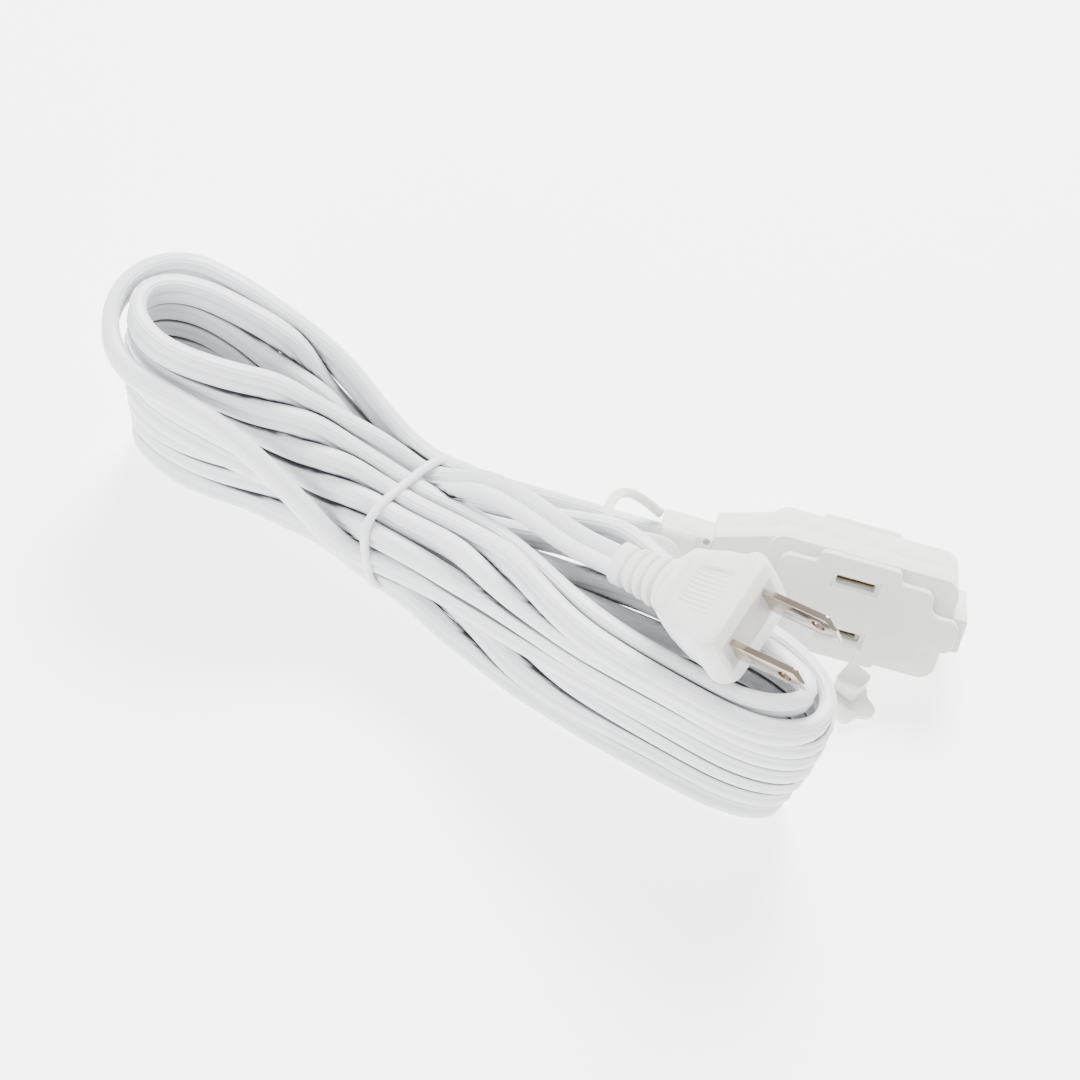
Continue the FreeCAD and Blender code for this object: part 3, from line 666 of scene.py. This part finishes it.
# ------------------------------------------------------------------ plug moulding
# Half width and half height of the plug along its length, from the face backwards, mm.
PLUG_HALF = [(0.0, 10.4), (-0.4, 11.1), (-1.4, 12.0), (-2.8, 12.6), (-4.3, 12.6), (-5.0, 12.2),
             (-5.8, 11.3), (-7.0, 11.1), (-10.5, 10.7), (-13.5, 9.8), (-16.0, 8.8), (-17.4, 8.3),
             (-19.2, 6.9), (-20.0, 6.0)]
PLUG_TOP = [(0.0, 9.0), (-0.5, 9.5), (-2.0, 9.4), (-4.0, 9.0), (-6.5, 8.4), (-9.0, 7.7),
            (-12.0, 7.0), (-14.6, 6.6), (-15.4, 6.7), (-16.4, 7.25), (-17.0, 7.25), (-19.2, 5.3),
            (-20.0, 4.7)]
PLUG_POWER = 7                   # how square the plug's section is
PLUG_SPANS = 96                  # spans across its width
GRIP_DEPTH = 0.6                 # mm
GRIP_RIB = 0.17                  # height of a rib, mm
GRIP_PITCH = 1.12                # mm


def table(rows, x):
    """Value at x along rows whose first column falls."""
    for (x0, y0), (x1, y1) in zip(rows, rows[1:]):
        if x1 <= x <= x0:
            f = (x0 - x) / (x0 - x1)
            return y0 + (y1 - y0) * f
    return rows[-1][1]


def soft_table(rows, x):
    """The same, averaged over a short length so that its corners are rounded."""
    return sum(table(rows, min(0.0, max(rows[-1][0], x + d))) for d in (-0.35, 0, 0.35)) / 3


def grip(x, y):
    """Depth of the grip panel and its ribs at a place on the plug's flat side."""
    inside = smooth(x, -14.0, -13.55) * (1 - smooth(x, -5.35, -4.9))
    edge = 4.7 + (x + 13.4) * 0.12
    inside *= 1 - smooth(abs(y), edge - 0.15, edge + 0.25)
    rib = GRIP_RIB * math.cos(2 * math.pi * y / GRIP_PITCH)
    return inside * (-GRIP_DEPTH + rib)


plug_rings = []
x_steps = [-0.0] + [-0.22 * k for k in range(1, 91)] + [-20.0]
for x in x_steps:
    w = soft_table(PLUG_HALF, x)
    h = soft_table(PLUG_TOP, x)
    pts = []
    for k in range(PLUG_SPANS + 1):
        y = -w + 2 * w * k / PLUG_SPANS
        e = abs(y) / w
        drop = h * (1 - max(1 - e ** PLUG_POWER, 0.0) ** (1 / PLUG_POWER))
        pts.append((y, h - drop))
    ring = [(y, z + grip(x, y)) for y, z in pts]
    ring += [(y, -z - grip(x, y)) for y, z in reversed(pts[1:-1])]
    plug_rings.append([at(PLUG, x, y, z) for y, z in ring])
v, f = tube(plug_rings)
plug_skin = piece("plug_moulding", v, f, M_PLUG, "tap", ("plug_body",))

# Strain relief: a collar where the cord leaves, then four ribs that grow towards the plug. In mm.
RELIEF_START = -34.6
RELIEF_LENGTH = 14.9
RELIEF_RINGS = 190
RELIEF_SIDES = 48
RELIEF_POWER = 2 / 2.6           # slightly square section
COLLAR_RADIUS = 4.35
RIBS = 4
RIB_START = -29.25
RIB_PITCH = 2.72
RIB_HALF = 0.98

relief_rings = []
for k in range(RELIEF_RINGS):
    x = RELIEF_START + RELIEF_LENGTH * k / (RELIEF_RINGS - 1)
    base = 3.15 + 0.05 * (x - RELIEF_START)
    r = base
    if x < -30.9:
        past = smooth(x, -31.5, -30.8)
        r = COLLAR_RADIUS * smooth(x, -35.3, -34.1) * (1 - past) + base * past
        r = max(r, 3.3)
    else:
        for j in range(RIBS):
            d = abs(x - (RIB_START + RIB_PITCH * j)) / RIB_HALF
            if d < 1:
                top = 4.55 + 0.33 * j
                r = max(r, base + (top - base) * (1 - d ** 3) ** 0.5)
    if x > -20.3:
        r = max(r, 4.6)
    ring = []
    for n in range(RELIEF_SIDES):
        a = 2 * math.pi * n / RELIEF_SIDES
        c, s = math.cos(a), math.sin(a)
        ring.append(at(PLUG, x, 1.06 * r * math.copysign(abs(c) ** RELIEF_POWER, c),
                       0.86 * r * math.copysign(abs(s) ** RELIEF_POWER, s)))
    relief_rings.append(ring)
v, f = tube(relief_rings)
relief = piece("plug_strain_relief", v, f, M_PLUG, "tap", ("plug_relief",))


# Blades, in mm.
BLADE_LENGTH = 18.3
BLADE_ROOT = 6.0                 # length inside the plug
BLADE_SPANS = 48
BLADE_HALF = 0.75                # half thickness
BLADE_EDGE = 0.16                # radius of its long edges
HOLE_RADIUS = 1.6
HOLE_BACK = 5.4                  # from the tip to the middle of the hole


def blade(name, node, y, width):
    """Blade with rounded edges, a hole, and a tip that tapers and leans a little."""
    tip = BLADE_LENGTH
    rings_b = []
    for k in range(BLADE_SPANS + 1):
        x = -BLADE_ROOT + (tip + BLADE_ROOT) * k / BLADE_SPANS
        hw = width / 2 - 1.7 * smooth(x, tip - 3.4, tip) ** 1.6
        ht = BLADE_HALF - 0.38 * smooth(x, tip - 2.8, tip)
        ring = []
        for start, sy, sz in ((0, 1, 1), (90, -1, 1), (180, -1, -1), (270, 1, -1)):
            cy, cz = sy * (ht - BLADE_EDGE), sz * (hw - BLADE_EDGE)
            for q in range(4):
                a = math.radians(start + 30 * q)
                ring.append((cy + BLADE_EDGE * math.cos(a), cz + BLADE_EDGE * math.sin(a)))
        lean = -0.9 * smooth(x, tip - 3.0, tip) ** 1.3
        rings_b.append([at(PLUG, x, y + ry + lean, rz) for ry, rz in ring])
    v, f = tube(rings_b)
    ob = piece(name, v, f, M_BLADE, "tap", (node,))
    cut_me = bpy.data.meshes.new(name + "_cut")
    bm = bmesh.new()
    bmesh.ops.create_cone(bm, cap_ends=True, segments=32, radius1=HOLE_RADIUS * MM,
                          radius2=HOLE_RADIUS * MM, depth=6 * MM)
    place = Matrix.Translation(Vector((tip - HOLE_BACK, y, 0)) * MM)
    bm.transform(PLUG @ place @ Matrix.Rotation(math.pi / 2, 4, "X"))
    bm.to_mesh(cut_me)
    bm.free()
    cut = bpy.data.objects.new(name + "_cut", cut_me)
    bpy.context.scene.collection.objects.link(cut)
    mod = ob.modifiers.new("hole", "BOOLEAN")
    mod.object = cut
    mod.solver = "EXACT"
    bpy.context.view_layer.update()
    dg = bpy.context.evaluated_depsgraph_get()
    new = bpy.data.meshes.new_from_object(ob.evaluated_get(dg))
    ob.modifiers.clear()
    ob.data = new
    new.polygons.foreach_set("use_smooth", [True] * len(new.polygons))
    new.set_sharp_from_angle(angle=math.radians(35))
    bpy.data.objects.remove(cut)
    return ob


blade_n = blade("blade_wide", "blade_neutral", 6.35, 7.94)
blade_l = blade("blade_narrow", "blade_line", -6.35, 6.35)

# ------------------------------------------------------------------ tap and its covers
softened("tap_shell_front", "tap_front_half", M_CASE, "tap", 0.55)
softened("tap_shell_rear", "tap_rear_half", M_CASE, "tap", 0.55)
softened("tap_end_block", "tap_end_rib", M_CASE, "tap", 0.4)
softened("tap_neck", "tap_neck_sleeve", M_CASE, "tap", 0.3)
softened("tap_collar", "tap_collar_sleeve", M_CASE, "tap", 0.6, 4)
softened("cover_front", "front_cover_plate", M_COVER, "front_cover", 0.35)
softened("cover_rear", "rear_cover_plate", M_COVER, "rear_cover", 0.35)
cap_ob = softened("safety_cap", "cap_with_block", M_CAP, "tap", 0.3)

# ------------------------------------------------------------------ strap that holds the cap
STRAP_SIDES = 20
STRAP_HALF = (0.00095, 0.0011)   # half width and half thickness, m
# Control points in mm before SHIFT, from the collar to the cap.
STRAP = [(24.4, 1.9, 21.6), (18.5, 2.0, 26.5), (13.6, -5.5, 37.0), (11.8, -17.0, 46.2),
         (15.0, -24.5, 47.9), (22.0, -21.0, 47.0), (28.4, -15.6, 37.5), (33.0, -16.8, 26.0),
         (42.5, -19.4, 14.0), (52.5, -22.4, 6.4), (63.0, -22.6, 3.0), (73.0, -21.2, 2.2)]
strap_raw = nurbs_line([Vector(p) * MM + SHIFT for p in STRAP], "strap_guide", 16)
strap_line, strap_length = resample(strap_raw, 0.0011)
srings = []
for i, p in enumerate(strap_line):
    t = (strap_line[min(i + 1, len(strap_line) - 1)] - strap_line[max(i - 1, 0)]).normalized()
    wide = (towards - t * towards.dot(t)).normalized()
    thin = t.cross(wide)
    ring = []
    for k in range(STRAP_SIDES):
        a = 2 * math.pi * k / STRAP_SIDES
        c, s = math.cos(a), math.sin(a)
        ring.append(p + wide * STRAP_HALF[0] * math.copysign(abs(c) ** 0.7, c)
                    + thin * STRAP_HALF[1] * math.copysign(abs(s) ** 0.7, s))
    srings.append(ring)
v, f = tube(srings)
strap = piece("cap_tether", v, f, M_CAP, "tap", ("cap_strap",))
print("strap length", round(strap_length, 4))

# ------------------------------------------------------------------ finishes of the inner pieces
for name, mat in (("contact_neutral", M_BRASS), ("contact_line", M_BRASS),
                  ("crimp_neutral", M_BRASS), ("crimp_line", M_BRASS),
                  ("tap_lead_neutral", M_CORE), ("tap_lead_line", M_CORE),
                  ("plug_lead_neutral", M_CORE), ("plug_lead_line", M_CORE),
                  ("blade_carrier", M_CORE), ("cord_tap_end", M_CORD), ("cord_plug_end", M_CORD),
                  ("rail_front", M_COVER), ("rail_rear", M_COVER)):
    me = nodes[name].data
    me.materials.clear()
    me.materials.append(mat)
